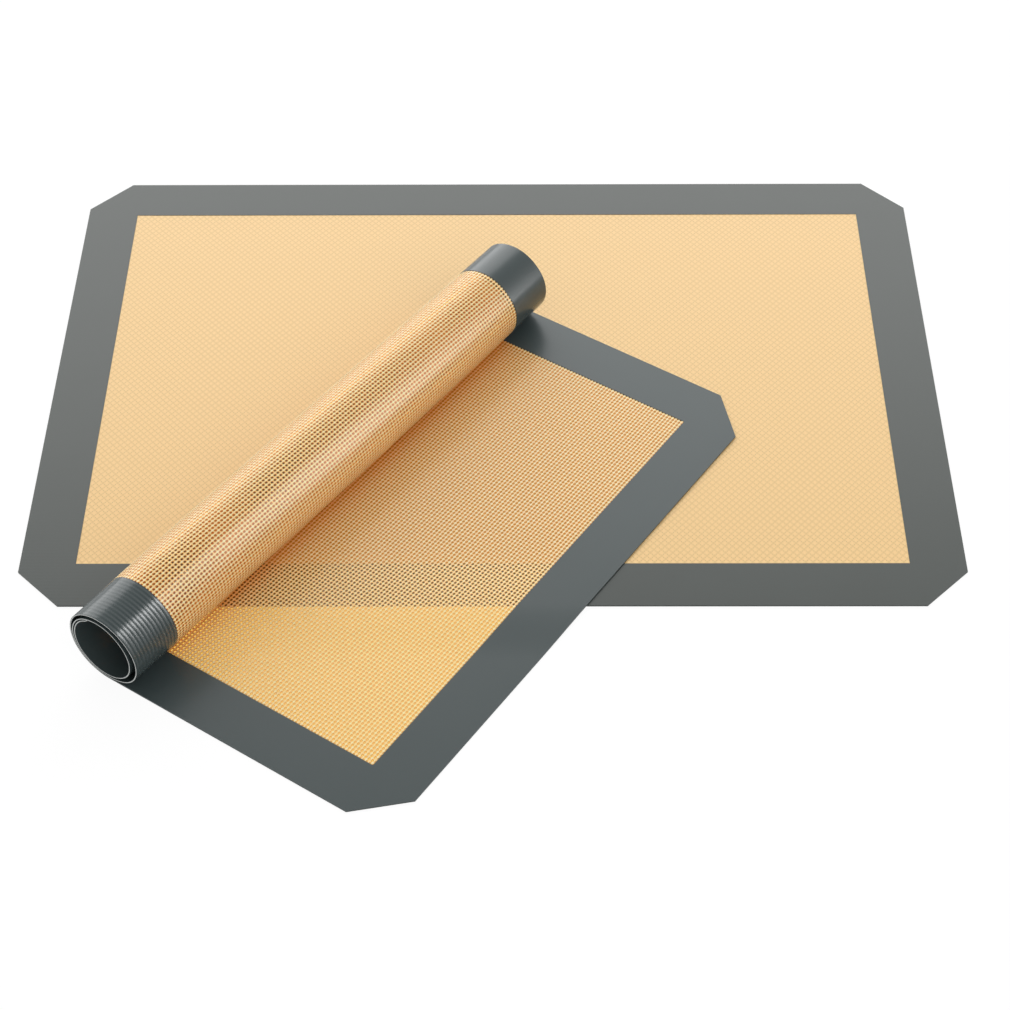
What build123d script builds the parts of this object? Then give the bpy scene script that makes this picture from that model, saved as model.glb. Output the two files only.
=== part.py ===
from build123d import *
import math
import os

# A pair of like woven baking mats. One lies flat on the table. The other lies across it,
# turned aside, and is rolled up along its length from one end for two and a half turns.
# Each mat is a glass cloth with a silicone coat on both faces, clear amber over the
# window in the middle and grey along the border. The underside is one even face. On
# the upper side the border's coat is the thicker, so the window lies a little lower.
# The origin is the centre of the flat mat's underside. X runs along its long side,
# Y across it, away from the viewer, and Z is up. All lengths are in millimetres.

# One mat, laid out flat
mat_length = 420.0
mat_width = 295.0
corner_cut = 20.0
border_width = 25.0
cloth_thickness = 0.30
under_coat = 0.20
upper_border_coat = 0.20
upper_window_coat = 0.15

# Where the second mat's centre would lie if it were unrolled, and how far it is turned
second_mat_x = -132.6
second_mat_y = -30.2
second_mat_turn = -34.1

# The roll: where the sheet leaves the table, measured from the mat's centre, how far
# the roll is turned out of square, and its radius, which shrinks a step each quarter turn
roll_start = 68.4
roll_skew = 1.65
first_radius = 19.0
radius_step = 0.45

# Room that cutting tools run past what they cut: beside the sheet, and through its face
overrun = 5.0
coat_overrun = 0.05

quarter = 90.0
quarters_in_a_turn = 4
points_in_a_quarter = 24
half_share = 0.5
half_cloth = cloth_thickness * half_share
cloth_middle = under_coat + half_cloth
sheet_thickness = under_coat + cloth_thickness + upper_border_coat
half_length = mat_length * half_share
half_width = mat_width * half_share
wound_length = half_length + roll_start


def mat_outline(left_end):
    """The mat's outline in plan, with its corners cut off, or open at the rolled end."""
    right = [
        (half_length - corner_cut, -half_width),
        (half_length, corner_cut - half_width),
        (half_length, half_width - corner_cut),
        (half_length - corner_cut, half_width),
    ]
    left = [(-x, -y) for x, y in right]
    if left_end == "rolled":
        left = [(-mat_length, half_width), (-mat_length, -half_width)]
    return make_face(Polyline(*right, *left, close=True))


def window_outline(left_end):
    """The window's outline in plan, a border's width inside the mat's edges."""
    x = half_length - border_width
    y = half_width - border_width
    left = -mat_length if left_end == "rolled" else -x
    return make_face(Polyline((x, -y), (x, y), (left, y), (left, -y), close=True))


# The flat mat


def flat_layer(outline, bottom, thickness):
    """One layer of the flat mat."""
    return extrude(Pos(0, 0, bottom) * outline, thickness)


def flat_mat():
    """The five layers of the flat mat, from the table up."""
    whole = mat_outline("flat")
    window = window_outline("flat")
    ring = whole - window
    cloth_top = under_coat + cloth_thickness
    return {
        "flat_border_under": flat_layer(ring, 0, under_coat),
        "flat_window_under": flat_layer(window, 0, under_coat),
        "flat_glass_cloth": flat_layer(whole, under_coat, cloth_thickness),
        "flat_window_upper": flat_layer(window, cloth_top, upper_window_coat),
        "flat_border_upper": flat_layer(ring, cloth_top, upper_border_coat),
    }


# The rolled mat is drawn in two frames of its own. In the sheet's frame X runs along
# the mat, from the centre that it would have unrolled. In the roll's frame Y is the
# roll's axis, and X is zero where the sheet leaves the table.

wound_middle = sheet_thickness + cloth_middle
roll_frame = Pos(roll_start, 0, 0) * Rot(0, 0, -roll_skew)
sheet_frame = Pos(second_mat_x, second_mat_y, 0) * Rot(0, 0, second_mat_turn)


def winding(length):
    """Quarter turns of the cloth's middle, as centre, radius, start angle and sweep."""
    x, z, angle = 0.0, wound_middle, -quarter
    radius, left, arcs = first_radius, length, []
    while left > 0:
        sweep = min(quarter, math.degrees(left / radius))
        turned = math.radians(angle)
        centre = (x - radius * math.cos(turned), z - radius * math.sin(turned))
        arcs.append((centre, radius, angle, -sweep))
        left -= radius * math.radians(sweep)
        angle -= sweep
        turned = math.radians(angle)
        x = centre[0] + radius * math.cos(turned)
        z = centre[1] + radius * math.sin(turned)
        radius -= radius_step
        if sweep < quarter:
            break
    return arcs


def wound_layer(length, low, high):
    """A layer from past the square end, along the table and round to the given length.
    Low and high are its faces' distances from the cloth's middle, inwards counted up."""
    reach = mat_length
    arcs = winding(length)
    outside = [CenterArc(c, radius - low, start, sweep) for c, radius, start, sweep in arcs]
    inside = [CenterArc(c, radius - high, start, sweep) for c, radius, start, sweep in arcs]
    edges = [Line((reach, wound_middle + low), (0, wound_middle + low))]
    edges += outside
    edges.append(Line(outside[-1] @ 1, inside[-1] @ 1))
    edges += inside
    edges.append(Line((0, wound_middle + high), (reach, wound_middle + high)))
    edges.append(Line((reach, wound_middle + high), (reach, wound_middle + low)))
    section = Plane.XZ * make_face(edges)
    return roll_frame * extrude(section, mat_width, both=True)


def trimmed(layer, outline):
    """What a layer keeps inside an outline in plan."""
    prism = extrude(Pos(0, 0, -overrun) * outline, mat_length)
    return layer & prism


def inner_corner(side):
    """The tool that cuts off a corner of the free edge inside the roll."""
    arcs = winding(wound_length)
    centre, radius, start, sweep = arcs[-1]
    room = (quarters_in_a_turn * radius_step - sheet_thickness) * half_share
    half_angle = math.degrees(corner_cut * half_share / radius)
    middle = start + sweep + half_angle
    half_chord = radius * math.sin(math.radians(half_angle))
    slope = corner_cut * half_share / half_chord
    end = half_chord + overrun
    low = -overrun * slope
    wedge = make_face(
        Polyline((-end, low), (end, corner_cut - low), (end, low), close=True)
    )
    wedge = extrude(wedge, mat_width)
    core_length = mat_width + overrun
    core = Cylinder(radius + cloth_middle + room, core_length, rotation=(quarter, 0, 0))
    # The wedge's X runs round the roll towards the free edge and its Z out from the centre
    across = radius * math.cos(math.radians(middle)) + centre[0]
    skew = math.radians(roll_skew)
    end_y = (half_width + side * across * math.sin(skew)) / math.cos(skew)
    wedge = Rot(0, quarter - middle, 0) * (Pos(0, -end_y, 0) * wedge)
    if side > 0:
        wedge = mirror(wedge, Plane.XZ)
    return roll_frame * (Pos(centre[0], 0, centre[1]) * (wedge & core))


def rolled_mat():
    """The five layers of the rolled mat. Its upper face is inside the roll."""
    whole = mat_outline("rolled")
    window = window_outline("rolled")
    window_end = wound_length - border_width
    corners = [inner_corner(-1), inner_corner(1)]
    layers = {}
    under_face = -cloth_middle
    upper_faces = (half_cloth + upper_window_coat, half_cloth + upper_border_coat)
    spans = {
        "rolled_window_under": (under_face, -half_cloth),
        "rolled_border_under": (under_face, -half_cloth),
        "rolled_glass_cloth": (-half_cloth, half_cloth),
        "rolled_window_upper": (half_cloth, upper_faces[0]),
        "rolled_border_upper": (half_cloth, upper_faces[1]),
    }
    for name, (low, high) in spans.items():
        if "window" in name:
            layers[name] = trimmed(wound_layer(window_end, low, high), window)
            continue
        layer = trimmed(wound_layer(wound_length, low, high), whole)
        if "border" in name:
            past = (low - coat_overrun, high + coat_overrun)
            layer -= trimmed(wound_layer(window_end, *past), window)
        for corner in corners:
            layer -= corner
        layers[name] = layer
    return {name: sheet_frame * layer for name, layer in layers.items()}


def least_gap():
    """The least gap between the roll's turns, measured on points along the sheet."""
    points, along = [], 0.0
    for (cx, cz), radius, start, sweep in winding(wound_length):
        for i in range(points_in_a_quarter):
            share = i / points_in_a_quarter
            angle = math.radians(start + sweep * share)
            place = along + radius * math.radians(-sweep) * share
            points.append((cx + radius * math.cos(angle), cz + radius * math.sin(angle), place))
        along += radius * math.radians(-sweep)
    half_turn = math.pi * first_radius
    pairs = ((p, q) for p in points for q in points if q[2] - p[2] > half_turn)
    return min(math.dist(p[:2], q[:2]) for p, q in pairs) - sheet_thickness


os.makedirs("parts", exist_ok=True)
for node, layer in {**flat_mat(), **rolled_mat()}.items():
    export_step(layer, f"parts/{node}.step")
    print(f"{node}: {len(layer.solids())} solid, {layer.volume:.0f} cubic mm")

swept = sum(-sweep for _, _, _, sweep in winding(wound_length))
turns = swept / (quarters_in_a_turn * quarter)
print(f"wound length {wound_length:.1f} mm, {turns:.2f} turns, least gap {least_gap():.2f} mm")
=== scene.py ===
import math
import bpy
import numpy as np
from mathutils import Euler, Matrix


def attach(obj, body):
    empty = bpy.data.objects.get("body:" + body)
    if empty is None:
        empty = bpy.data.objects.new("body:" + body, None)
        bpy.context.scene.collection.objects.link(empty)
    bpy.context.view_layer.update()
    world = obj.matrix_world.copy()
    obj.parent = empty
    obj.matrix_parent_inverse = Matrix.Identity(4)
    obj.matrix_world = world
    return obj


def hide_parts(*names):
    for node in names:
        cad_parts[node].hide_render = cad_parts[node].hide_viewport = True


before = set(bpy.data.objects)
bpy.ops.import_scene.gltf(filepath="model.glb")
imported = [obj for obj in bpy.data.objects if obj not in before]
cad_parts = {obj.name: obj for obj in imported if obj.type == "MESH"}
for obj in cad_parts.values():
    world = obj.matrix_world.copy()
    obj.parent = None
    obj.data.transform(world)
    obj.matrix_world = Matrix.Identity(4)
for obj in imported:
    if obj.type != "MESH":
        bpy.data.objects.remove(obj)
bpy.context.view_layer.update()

# Two like baking mats. One lies flat. The other lies across it and is rolled up from one end.
# A mat is drawn flat, with u along its length, v across it, and w the height above the middle
# of its glass cloth. Then each point goes to its place, also round the roll. Sizes are in
# millimetres, and mm makes them metres.

mm = 0.001

matCut = {
    "length": 420.0,
    "width": 295.0,
    "cornerCut": 20.0,
    "border": 25.0,
    "crossingsAlong": 221,  # of the cloth's yarns, inside the window
    "crossingsAcross": 128,
    "bareEdge": 0.5,  # how far in from the cut edge the bare glass is a piece of its own
    "linesInBorder": 6,
    "linesBeforeCut": 4,
    "linesInCut": 13,
    "rimPoints": [12, 24, 12, 227],  # on a corner cut, a short side, a cut and a long side
    "sharpFrom": 35,  # degrees between two faces that leave a hard edge
}

matLayers = {  # heights from the middle of the cloth
    "cloth": 0.15,
    "border": 0.35,
    "window": 0.30,
    "gapFilm": 0.08,  # the clear film is thinner in the gaps between the yarns
    "lowerYarnShare": 0.85,  # how high the yarns along the mat stand beside those across it
}

rollShape = {
    "turn": -34.1,
    "x": -132.6,
    "y": -30.2,
    "middle": 69.6,  # the roll's axis, along the mat
    "steps": 4000,
    "skew": 0.0287,
    "bow": 1.25,
    "bulge": 0.69,
    "turnPart": 8,  # of which radii gives one after the other, the first under the axis
    "radii": [18.25, 18.3, 18.2, 18.8, 18.1, 17.2, 17.4, 17.9,
              17.5, 17.5, 17.3, 16.7, 15.1, 13.5, 13.6, 15.0,
              16.4, 16.7, 16.2, 15.6, 14.3, 12.7, 12.4, 12.9],
    "onMat": 1.08,  # height of the cloth's middle on the other mat
    "onTable": 0.36,
    "drop": 30.0,  # the length over which it comes down past the other mat's edge
}

halfLength = matCut["length"] / 2
halfWidth = matCut["width"] / 2
windowU = halfLength - matCut["border"]
windowV = halfWidth - matCut["border"]
pitchU = 2 * windowU / matCut["crossingsAlong"]
pitchV = 2 * windowV / matCut["crossingsAcross"]


def smoothStep(x):
    x = np.clip(x, 0, 1)
    return x * x * (3 - 2 * x)


def placeFlat(u, v, w):
    return np.stack([u, v, w + matLayers["border"]], axis=1)


def windRoll():
    # The roll's section at its ends, as points at a known length along the sheet
    radii = np.array(rollShape["radii"])
    radii = np.concatenate([radii[:1], radii])
    part = np.linspace(0, len(radii) - 3.001, rollShape["steps"])  # just short of the last
    i = part.astype(int) + 1
    t = part + 1 - i
    before, here, after, later = (radii[i + k] for k in (-1, 0, 1, 2))
    radius = here + t / 2 * (after - before + t * (
        2 * before - 5 * here + 4 * after - later + t * (3 * (here - after) + later - before)))
    angle = -math.pi / 2 - part * 2 * math.pi / rollShape["turnPart"]
    x, z = radius * np.cos(angle), radius * np.sin(angle) + radii[0]
    dx, dz = np.gradient(x), np.gradient(z)
    step = np.hypot(dx, dz)
    along = np.concatenate([[0], np.cumsum(np.hypot(np.diff(x), np.diff(z)))])
    return along, x, z, dz / step, -dx / step


wound = windRoll()


def placeRolled(u, v, w):
    end = v / halfWidth
    bulge = rollShape["bulge"] * (1 - end * end)
    scale = 1 + bulge / rollShape["radii"][0]
    middle = rollShape["middle"] + rollShape["skew"] * v - rollShape["bow"] * end * end
    length = np.maximum(middle - u, 0) / scale
    x, z, inX, inZ = (np.interp(length, wound[0], values) for values in wound[1:])
    x = np.maximum(u, middle) + x * scale + w * inX
    turn = math.radians(rollShape["turn"])
    worldX = x * math.cos(turn) - v * math.sin(turn) + rollShape["x"]
    worldY = x * math.sin(turn) + v * math.cos(turn) + rollShape["y"]
    onMat = smoothStep((worldY + halfWidth) / rollShape["drop"] + 1)
    rest = rollShape["onTable"] + (rollShape["onMat"] - rollShape["onTable"]) * onMat
    return np.stack([worldX, worldY, rest + z * scale + w * inZ], axis=1)


def cutCorner(inset):
    # Where the corner cut starts and ends, for an outline that lies inset from the edge
    cut = matCut["cornerCut"] - inset * (2 - math.sqrt(2))
    return halfLength - inset, halfWidth - inset, cut


def gridPatch(us, vs):
    u, v = np.meshgrid(us, vs, indexing="ij")
    return quadPatch(u, v)


def quadPatch(u, v):
    rows, columns = u.shape
    number = np.arange(rows * columns).reshape(rows, columns)
    corners = [number[:-1, :-1], number[1:, :-1], number[1:, 1:], number[:-1, 1:]]
    return np.stack([u.ravel(), v.ravel()], 1), np.stack([c.ravel() for c in corners], 1).tolist()


def endLines(inset):
    length, _, cut = cutCorner(inset)
    beforeCut = np.linspace(windowU, length - cut, matCut["linesBeforeCut"])
    return np.concatenate([beforeCut, np.linspace(length - cut, length, matCut["linesInCut"])[1:]])


def borderPatches(inset):
    # The strips between the window and the outline, on lines that follow the weave
    length, width, cut = cutCorner(inset)
    ends = endLines(inset)
    window = np.linspace(-windowU, windowU, matCut["crossingsAlong"] + 1)
    us = np.concatenate([-ends[:0:-1], window, ends[1:]])
    reach = width - np.maximum(np.abs(us) - (length - cut), 0)
    share = np.linspace(0, 1, matCut["linesInBorder"])
    v = windowV + share[None, :] * (reach[:, None] - windowV)
    u = np.repeat(us[:, None], len(share), 1)
    across = np.linspace(-windowV, windowV, matCut["crossingsAcross"] + 1)
    return [quadPatch(u, v), quadPatch(u[::-1], -v[::-1]),
            gridPatch(ends, across), gridPatch(-ends[::-1], across)]


def weavePatch():
    # The window, with a point at each crossing of the yarns and one at each gap
    us = np.linspace(-windowU, windowU, matCut["crossingsAlong"] + 1)
    vs = np.linspace(-windowV, windowV, matCut["crossingsAcross"] + 1)
    u, v = np.meshgrid(us, vs, indexing="ij")
    gaps = np.arange(u.size).reshape(u.shape)
    centreU, centreV = np.meshgrid((us[1:] + us[:-1]) / 2, (vs[1:] + vs[:-1]) / 2, indexing="ij")
    centre = u.size + np.arange(centreU.size).reshape(centreU.shape)
    corners = [gaps[:-1, :-1], gaps[1:, :-1], gaps[1:, 1:], gaps[:-1, 1:]]
    faces = [np.stack([a.ravel(), b.ravel(), centre.ravel()], 1)
             for a, b in zip(corners, corners[1:] + corners[:1])]
    points = np.concatenate([np.stack([u.ravel(), v.ravel()], 1),
                             np.stack([centreU.ravel(), centreV.ravel()], 1)])
    return points, np.concatenate(faces).tolist()


def rimPatch(inset):
    # The narrow band between the outline and the same outline inset
    loops = []
    for depth in (inset, 0):
        x, y, cut = cutCorner(depth)
        corners = [(x - cut, -y), (x, cut - y), (x, y - cut), (x - cut, y),
                   (cut - x, y), (-x, y - cut), (-x, cut - y), (cut - x, -y)]
        loop = []
        for (a, b), (c, d), count in zip(corners, corners[1:] + corners[:1], matCut["rimPoints"] * 2):
            part = np.arange(count) / count
            loop += list(zip(a + part * (c - a), b + part * (d - b)))
        loops.append(loop + loop[:1])
    u, v = (np.array([[p[k] for p in loop] for loop in loops]) for k in (0, 1))
    return quadPatch(u, v)


def joined(patches, within=0.001):
    # One set of points and faces, in which points that lie within that many mm are one
    points, faces = [], []
    for patchPoints, patchFaces in patches:
        faces += [[n + len(points) for n in face] for face in patchFaces]
        points += patchPoints.tolist()
    points = np.array(points)
    _, first, number = np.unique(np.round(points / within), axis=0, return_index=True, return_inverse=True)
    number = number.ravel()
    return points[first], [[number[n] for n in face] for face in faces]


def yarnCount(u, v):
    return (u + windowU) / pitchU, (v + windowV) / pitchV


def weaveHeight(u, v, side):
    # side is 1 for the upper face and -1 for the underside, where the other yarn is on top
    across, along = yarnCount(u, v)
    over = np.sin(math.pi * across) * np.sin(math.pi * along) * side
    crest = matLayers["window"] if side > 0 else matLayers["border"]
    rise = (crest - matLayers["gapFilm"]) * np.where(over > 0, 1, matLayers["lowerYarnShare"])
    height = matLayers["gapFilm"] + rise * np.abs(over)
    margin = 0.01  # so that the points on the window's own edge count as outside it
    outside = (np.abs(u) > windowU - margin) | (np.abs(v) > windowV - margin)
    return side * np.where(outside, matLayers["cloth"], height)


def closedPiece(name, patches, place, upper, lower, material):
    # A thin closed solid: the patches' upper and lower faces, with walls round their edges
    points, faces = joined(patches)
    u, v = points.T
    count = len(points)
    places = np.concatenate([place(u, v, upper(u, v)), place(u, v, lower(u, v))]) * mm
    edges = {}
    for face in faces:
        for a, b in zip(face, face[1:] + face[:1]):
            edges[(a, b)] = edges.get((b, a), 0) + 1
            if (b, a) in edges:
                edges[(b, a)] += 1
    walls = [[b, a, a + count, b + count] for (a, b), uses in edges.items() if (b, a) not in edges]
    under = [[n + count for n in reversed(face)] for face in faces]
    mesh = bpy.data.meshes.new(name)
    mesh.from_pydata(places.tolist(), [], faces + under + walls)
    across, along = yarnCount(u, v)
    weave = np.concatenate([np.stack([across, along], 1), np.stack([across + 1, along], 1)])
    corner = np.zeros(len(mesh.loops), int)
    mesh.loops.foreach_get("vertex_index", corner)
    layer = mesh.uv_layers.new(name="Weave")
    layer.data.foreach_set("uv", weave[corner].ravel())
    mesh.shade_smooth()
    mesh.set_sharp_from_angle(angle=math.radians(matCut["sharpFrom"]))
    mesh.materials.append(material)
    piece = bpy.data.objects.new(name, mesh)
    bpy.context.scene.collection.objects.link(piece)
    return piece


def level(height):
    return lambda u, v: np.full(len(u), height)


def newMaterial(name):
    material = bpy.data.materials.new(name)
    material.use_nodes = True
    material.node_tree.nodes.clear()
    return material, material.node_tree


def addNode(tree, kind, *links, **settings):
    node = tree.nodes.new(kind)
    for key, value in settings.items():
        setattr(node, key, value)
    for socket, value in zip(node.inputs, links):
        connect(tree, value, socket)
    return node


def connect(tree, value, socket):
    if value is None:
        return
    if isinstance(value, bpy.types.NodeSocket):
        tree.links.new(value, socket)
    else:
        socket.default_value = value


def calculate(tree, operation, *values):
    return addNode(tree, "ShaderNodeMath", *values, operation=operation).outputs[0]


def ramp(tree, value, start, end):
    node = addNode(tree, "ShaderNodeMapRange", value, start, end, 0.0, 1.0)
    node.interpolation_type = "SMOOTHSTEP"
    return node.outputs[0]


def blendColour(tree, share, first, second, way="MIX"):
    node = tree.nodes.new("ShaderNodeMix")
    node.data_type = "RGBA"
    node.blend_type = way
    connect(tree, share, node.inputs["Factor"])
    connect(tree, first, node.inputs["A"])
    connect(tree, second, node.inputs["B"])
    return node.outputs["Result"]


def yarnAxes(tree):
    # The count of yarns along the mat and across it, which closedPiece leaves in the Weave map
    place = addNode(tree, "ShaderNodeUVMap", uv_map="Weave").outputs[0]
    return addNode(tree, "ShaderNodeSeparateXYZ", place).outputs[:2]


def yarnWave(tree, axis):
    return calculate(tree, "SINE", calculate(tree, "MULTIPLY", axis, math.pi))


def paintNookShade(tree, look, colour):
    # Painted shade: deepens the colour to a darker orange where the mat comes close to itself, and from
    # further off on the roll, by an occlusion node that sees only this piece
    reach = [distance * mm for distance in look["paintedShadeReach"]]
    reach = addNode(tree, "ShaderNodeMapRange", yarnAxes(tree)[0], *look["paintedShadeYarns"], *reach).outputs[0]
    nook = addNode(tree, "ShaderNodeAmbientOcclusion", None, reach, samples=4, only_local=True)
    depth = calculate(tree, "SUBTRACT", 1.0, ramp(tree, nook.outputs["AO"], 0.0, look["openShare"]))
    return blendColour(tree, depth, colour, look["paintedNookShade"], "MULTIPLY")


def speckles(tree, scale):
    cloud = addNode(tree, "ShaderNodeTexNoise", addNode(tree, "ShaderNodeTexCoord").outputs["Object"])
    cloud.inputs["Scale"].default_value = scale
    return cloud.outputs["Fac"]


def showSurface(tree, shader):
    connect(tree, shader, tree.nodes.new("ShaderNodeOutputMaterial").inputs["Surface"])


siliconeIndex = 1.41

weaveLook = {
    "flat": {
        "upperYarn": (0.91, 0.630, 0.288, 1),  # the yarns across the mat, painted lighter than those along it: painted light and shade of the knuckles
        "lowerYarn": (0.78, 0.525, 0.230, 1),  # the yarns along it
        # down a yarn's flanks, a touch lighter than the yarns: painted light against the relief's own
        # shading
        "yarnFlankShading": (0.88, 0.602, 0.270, 1),
        "filmTint": (0.98, 0.76, 0.38, 1),  # what one face of the clear film lets through
        "gapAlong": 0.20,  # share of the pitch that is open between the yarns
        "gapAcross": 0.20,
        "seeThrough": 0.40,
        "crestShare": 0.45,  # how much of a yarn's crest carries on between its crossings
    },
    # The mats are alike; the rolled mat's yarn colours are painted lighter and more orange than the flat
    # one's, painted light and shade for how the light falls on each
    "rolled": {
        "upperYarn": (1.0, 0.86, 0.50, 1),
        "lowerYarn": (1.0, 0.71, 0.32, 1),
        # deep orange down a yarn's flanks: painted shade for the yarns' roundness
        "yarnFlankShading": (0.95, 0.53, 0.11, 1),
        "filmTint": (0.99, 0.78, 0.36, 1),
        "gapAlong": 0.54,
        "gapAcross": 0.62,
        "seeThrough": 0.96,
        "crestShare": 0.22,
        "paintedNookShade": (0.94, 0.52, 0.13, 1),  # painted shade: the share of the colour that stays where the roll comes down on the mat
    },
    "paintedShadeReach": (14.0, 45.0),  # mm, how far the painted shade looks, where the mat lies flat and on the roll
    "paintedShadeYarns": (150.0, 140.0),  # the yarns between which the one becomes the other
    "openShare": 0.66,  # a place that sees this much of its surroundings counts as open and gets no painted shade
    "glow": (1.0, 0.60, 0.14, 1),  # the light that passes through a yarn
    "glowShare": 0.07,
    "filmIndex": 1.25,  # how much the film between the yarns mirrors
    "filmRoughness": 0.22,
    "yarnRoughness": 0.36,
    "yarnEdge": 0.1,  # how softly a yarn ends at a gap
    "yarnCrossing": 0.15,  # and at a crossing
    "flankShadingToCrest": (0.1, 0.8),
}


def weaveMaterial(mat):
    look = {**weaveLook, **weaveLook[mat]}
    material, tree = newMaterial("amber silicone on woven glass of the " + mat + " mat")
    across, along = (yarnWave(tree, axis) for axis in yarnAxes(tree))
    over = calculate(tree, "MULTIPLY", across, along)
    share = look["crestShare"]
    crest = calculate(tree, "MULTIPLY_ADD", calculate(tree, "ABSOLUTE", along), 1 - share, share)
    crest = calculate(tree, "MULTIPLY", calculate(tree, "ABSOLUTE", across), crest)
    soft, crossing = look["yarnEdge"], look["yarnCrossing"]
    upper, lower = (
        ramp(tree, calculate(tree, "ABSOLUTE", wave), edge - soft, edge + soft)
        for wave, edge in ((across, math.sin(look["gapAlong"] * math.pi / 2)),
                           (along, math.sin(look["gapAcross"] * math.pi / 2))))
    onTop = calculate(tree, "MULTIPLY", upper, calculate(
        tree, "MAXIMUM", ramp(tree, over, -crossing, crossing), calculate(tree, "SUBTRACT", 1.0, lower)))
    gap = calculate(tree, "MULTIPLY", calculate(tree, "SUBTRACT", 1.0, upper),
                    calculate(tree, "SUBTRACT", 1.0, lower))
    # painted light and shade on the knuckles: the two yarns' colours, one lighter than the other, make a
    # checkerboard
    yarn = blendColour(tree, onTop, look["lowerYarn"], look["upperYarn"])
    # painted shade down the yarns' flanks, towards their crests the yarns' own colour
    yarn = blendColour(tree, ramp(tree, crest, *look["flankShadingToCrest"]), look["yarnFlankShading"], yarn)
    # painted shade where the roll comes down on the mat
    if "paintedNookShade" in look:
        yarn = paintNookShade(tree, look, yarn)
    surface = tree.nodes.new("ShaderNodeBsdfPrincipled")
    connect(tree, yarn, surface.inputs["Base Color"])
    surface.inputs["Roughness"].default_value = look["yarnRoughness"]
    surface.inputs["IOR"].default_value = siliconeIndex
    glow = addNode(tree, "ShaderNodeBsdfTranslucent", look["glow"])
    thread = addNode(tree, "ShaderNodeMixShader", look["glowShare"], surface.outputs[0], glow.outputs[0])
    clear = addNode(tree, "ShaderNodeBsdfTransparent", look["filmTint"])
    shine = addNode(tree, "ShaderNodeBsdfAnisotropic", (1, 1, 1, 1), look["filmRoughness"])
    fresnel = addNode(tree, "ShaderNodeFresnel", look["filmIndex"]).outputs[0]
    film = addNode(tree, "ShaderNodeMixShader", fresnel, clear.outputs[0], shine.outputs[0])
    seen = calculate(tree, "MULTIPLY", gap, look["seeThrough"])
    mix = addNode(tree, "ShaderNodeMixShader", seen, thread.outputs[0], film.outputs[0])
    showSurface(tree, mix.outputs[0])
    return material


greyLook = {
    # One grey silicone on both mats; the rolled mat's is painted lighter and bluer, a painted reflection
    # of the light on the roll's ends
    "flat": ((0.042, 0.050, 0.045, 1), (0.047, 0.056, 0.051, 1)),
    "rolled": ((0.046, 0.062, 0.063, 1), (0.052, 0.068, 0.069, 1)),
    "speckleScale": 28.0,
    "upper": {"roughness": 0.31, "ribs": 0.005, "swing": 0.0},  # ribs in mm
    "under": {"roughness": 0.22, "ribs": 0.018, "swing": 0.80},  # how much more a rib shines than a furrow
    "growAcross": (60.0, 10.0, 0.1, 1.0),  # from one yarn to the other, the ribs grow to their full height
    "growAlong": (118.0, 110.0, 0.2, 1.0),  # the same along the mat, which is round the roll
}


def greyMaterial(mat, side):
    look = greyLook
    face = look[side]
    material, tree = newMaterial("grey silicone, " + side + " side of the " + mat + " mat")
    along, across = yarnAxes(tree)
    wave = yarnWave(tree, across)
    wave = calculate(tree, "MULTIPLY", wave, wave)
    growAcross = addNode(tree, "ShaderNodeMapRange", across, *look["growAcross"]).outputs[0]
    growAlong = addNode(tree, "ShaderNodeMapRange", along, *look["growAlong"]).outputs[0]
    full = calculate(tree, "MULTIPLY", growAcross, growAlong)
    rib = calculate(tree, "MULTIPLY", wave, full)
    bump = tree.nodes.new("ShaderNodeBump")
    bump.inputs["Distance"].default_value = face["ribs"] * mm
    connect(tree, rib, bump.inputs["Height"])
    surface = tree.nodes.new("ShaderNodeBsdfPrincipled")
    colour = blendColour(tree, speckles(tree, look["speckleScale"]), *look[mat])
    connect(tree, colour, surface.inputs["Base Color"])
    surface.inputs["Roughness"].default_value = face["roughness"]
    surface.inputs["IOR"].default_value = siliconeIndex
    if face["swing"]:
        swing = calculate(tree, "MULTIPLY_ADD", full, -0.5, rib)
        shine = calculate(tree, "MULTIPLY_ADD", swing, face["swing"], 0.5)
        connect(tree, shine, surface.inputs["Specular IOR Level"])
    connect(tree, bump.outputs[0], surface.inputs["Normal"])
    showSurface(tree, surface.outputs[0])
    return material


cutEdgeLook = {
    "darker": (0.62, 0.64, 0.62, 1),
    "paler": (0.92, 0.93, 0.90, 1),
    "speckleScale": 900.0,
    "roughness": 0.6,
    "paintedEdgeShade": (0.045, 0.050, 0.048, 1),  # painted shade, along the parts that lie flat
    "rolledYarns": {"flat": -9.0, "rolled": 151.0},  # the edge is pale up to this yarn
    "fade": 8.0,  # the yarns over which the painted shade comes in
}


def glassEdgeMaterial(mat):
    look = cutEdgeLook
    material, tree = newMaterial("cut edge of the " + mat + " mat's glass cloth")
    colour = blendColour(tree, speckles(tree, look["speckleScale"]), look["darker"], look["paler"])
    along = yarnAxes(tree)[0]
    last = look["rolledYarns"][mat]
    # painted shade: the cut edge darkens where the mat lies flat
    colour = blendColour(tree, ramp(tree, along, last - look["fade"], last), colour, look["paintedEdgeShade"])
    surface = addNode(tree, "ShaderNodeBsdfPrincipled", colour)
    surface.inputs["Roughness"].default_value = look["roughness"]
    showSurface(tree, surface.outputs[0])
    return material


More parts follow.
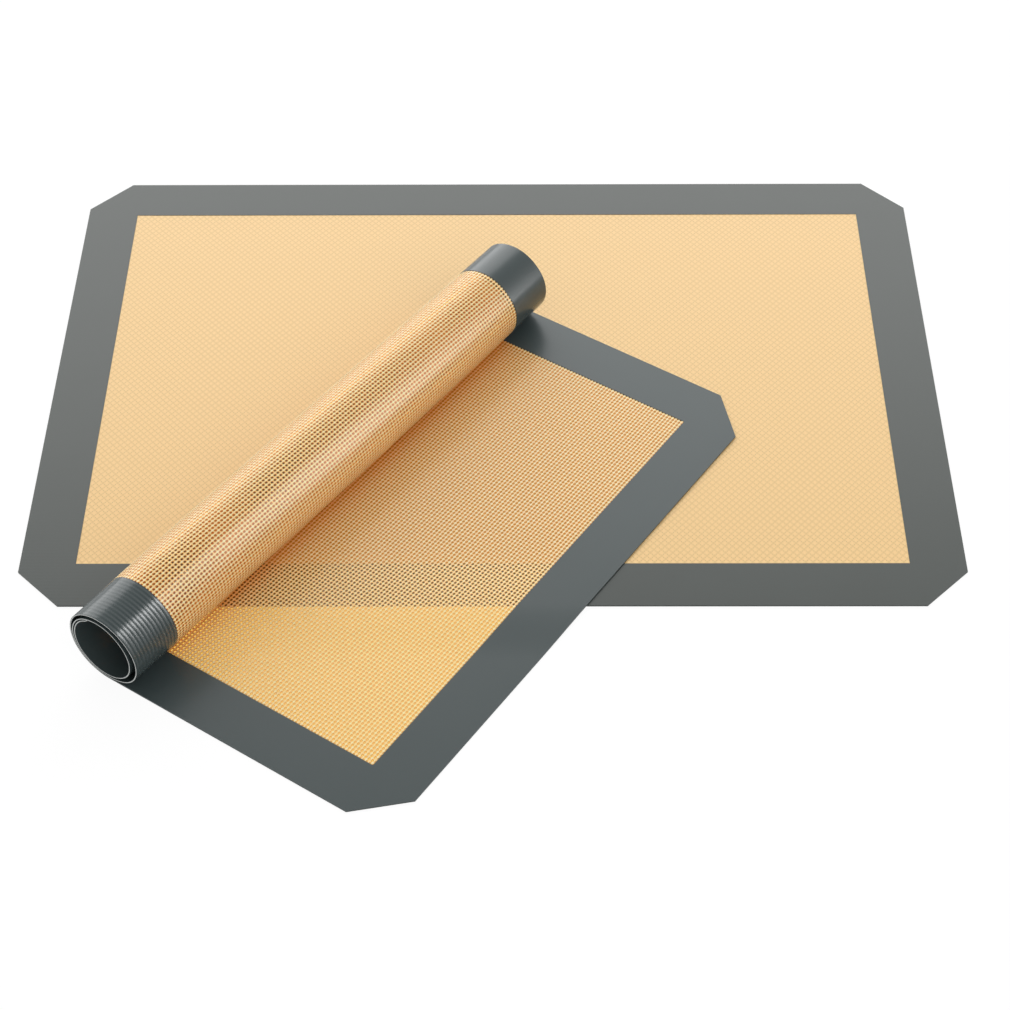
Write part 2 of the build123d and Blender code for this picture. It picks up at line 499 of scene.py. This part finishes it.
def makeMat(mat, place):
    cloth, border = matLayers["cloth"], matLayers["border"]
    window = closedPiece(mat + "_window", [weavePatch()] + borderPatches(matCut["bareEdge"]), place,
                         lambda u, v: weaveHeight(u, v, 1), lambda u, v: weaveHeight(u, v, -1),
                         weaveMaterial(mat))
    edge = closedPiece(mat + "_cloth_edge", [rimPatch(matCut["bareEdge"])], place,
                       level(cloth), level(-cloth), glassEdgeMaterial(mat))
    upper = closedPiece(mat + "_upper_border", borderPatches(0), place, level(border), level(cloth),
                        greyMaterial(mat, "upper"))
    under = closedPiece(mat + "_under_border", borderPatches(0), place, level(-cloth), level(-border),
                        greyMaterial(mat, "under"))
    body = mat + "_mat"
    for piece, slot, nodes in (
            (window, "amber_silicone", [mat + "_window_upper", mat + "_window_under"]),
            (edge, "glass_cloth", [mat + "_glass_cloth"]),
            (upper, "grey_silicone", [mat + "_border_upper"]),
            (under, "grey_silicone", [mat + "_border_under"])):
        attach(piece, body)
        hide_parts(*nodes)
    print(mat, "mat made,", sum(len(p.data.polygons) for p in (window, edge, upper, under)), "faces")
    return window, edge, upper, under


flat = makeMat("flat", placeFlat)
rolled = makeMat("rolled", placeRolled)


studio = {
    "tableDrop": 0.05,  # mm under the mats, so that no two faces lie in one plane
    "tableSize": 8.0,
    "tableColour": (0.85, 0.85, 0.85, 1),
    "tableWhite": 1.04,
    "ambient": 0.45,
    "shadowShare": 0.12,  # how much of the table's white is lit, and so can be shaded
    "lampPower": 4.0,  # watts for each square metre of a lamp of brightness 1
}


def litByLightPath(tree):
    path = tree.nodes.new("ShaderNodeLightPath").outputs
    seen = calculate(tree, "MAXIMUM", path["Is Camera Ray"], path["Is Glossy Ray"])
    return calculate(tree, "MAXIMUM", seen, path["Is Transmission Ray"])


def makeTable():
    mesh = bpy.data.meshes.new("table")
    half, z = studio["tableSize"] / 2, -studio["tableDrop"] * mm
    corners = [(-half, -half, z), (half, -half, z), (half, half, z), (-half, half, z)]
    mesh.from_pydata(corners, [], [(0, 1, 2, 3)])
    material, tree = newMaterial("white table")
    lit = addNode(tree, "ShaderNodeBsdfDiffuse", studio["tableColour"])
    white = addNode(tree, "ShaderNodeEmission", (1, 1, 1, 1), studio["tableWhite"])
    share = calculate(tree, "MULTIPLY", litByLightPath(tree), 1 - studio["shadowShare"])
    mix = addNode(tree, "ShaderNodeMixShader", share, lit.outputs[0], white.outputs[0])
    showSurface(tree, mix.outputs[0])
    mesh.materials.append(material)
    table = bpy.data.objects.new("table", mesh)
    bpy.context.scene.collection.objects.link(table)


def makeWorld():
    world = bpy.data.worlds.new("studio")
    bpy.context.scene.world = world
    world.use_nodes = True
    tree = world.node_tree
    tree.nodes.clear()
    seen = calculate(tree, "MULTIPLY", litByLightPath(tree), 1 - studio["ambient"])
    strength = calculate(tree, "ADD", seen, studio["ambient"])
    sky = addNode(tree, "ShaderNodeBackground", (1, 1, 1, 1), strength)
    out = tree.nodes.new("ShaderNodeOutputWorld")
    connect(tree, sky.outputs[0], out.inputs["Surface"])


lamps = {  # azimuth from +Y towards +X, elevation, distance, width, height, brightness, lights diffusely
    "backPanel": (-7, 27, 1.9, 3.6, 1.63, 2.15, True),
    "frontFill": (150, 40, 1.9, 2.0, 1.4, 1.0, True),
    "sideBox": (93, 28, 2.5, 0.60, 2.30, 9.6, False),
}


def makeLamps():
    for name, (azimuth, elevation, distance, width, height, brightness, diffuse) in lamps.items():
        lamp = bpy.data.lights.new(name, "AREA")
        lamp.shape = "RECTANGLE"
        lamp.size, lamp.size_y = width, height
        lamp.energy = brightness * studio["lampPower"] * width * height
        holder = bpy.data.objects.new(name, lamp)
        holder.visible_diffuse = diffuse
        a, e = math.radians(azimuth), math.radians(elevation)
        holder.location = (distance * math.sin(a) * math.cos(e), distance * math.cos(a) * math.cos(e),
                           distance * math.sin(e))
        holder.rotation_euler = Euler((math.pi / 2 - e, 0, math.pi - a))
        bpy.context.scene.collection.objects.link(holder)


view = {
    "place": (0.0140799, -0.8422251, 0.7769785),
    "tilt": (44.239028, 0.366249, 0.277256),
    "lens": 85.0468527,
    "sensor": 36.0,
    "nearest": 0.01,
}


def makeCamera():
    camera = bpy.data.cameras.new("camera")
    camera.lens = view["lens"]
    camera.sensor_width = view["sensor"]
    camera.clip_start = view["nearest"]
    holder = bpy.data.objects.new("camera", camera)
    holder.location = view["place"]
    holder.rotation_euler = Euler([math.radians(angle) for angle in view["tilt"]])
    bpy.context.scene.collection.objects.link(holder)
    bpy.context.scene.camera = holder


makeTable()
makeWorld()
makeLamps()
makeCamera()
bpy.context.scene.view_settings.view_transform = "Standard"
print("table, lamps and camera placed")
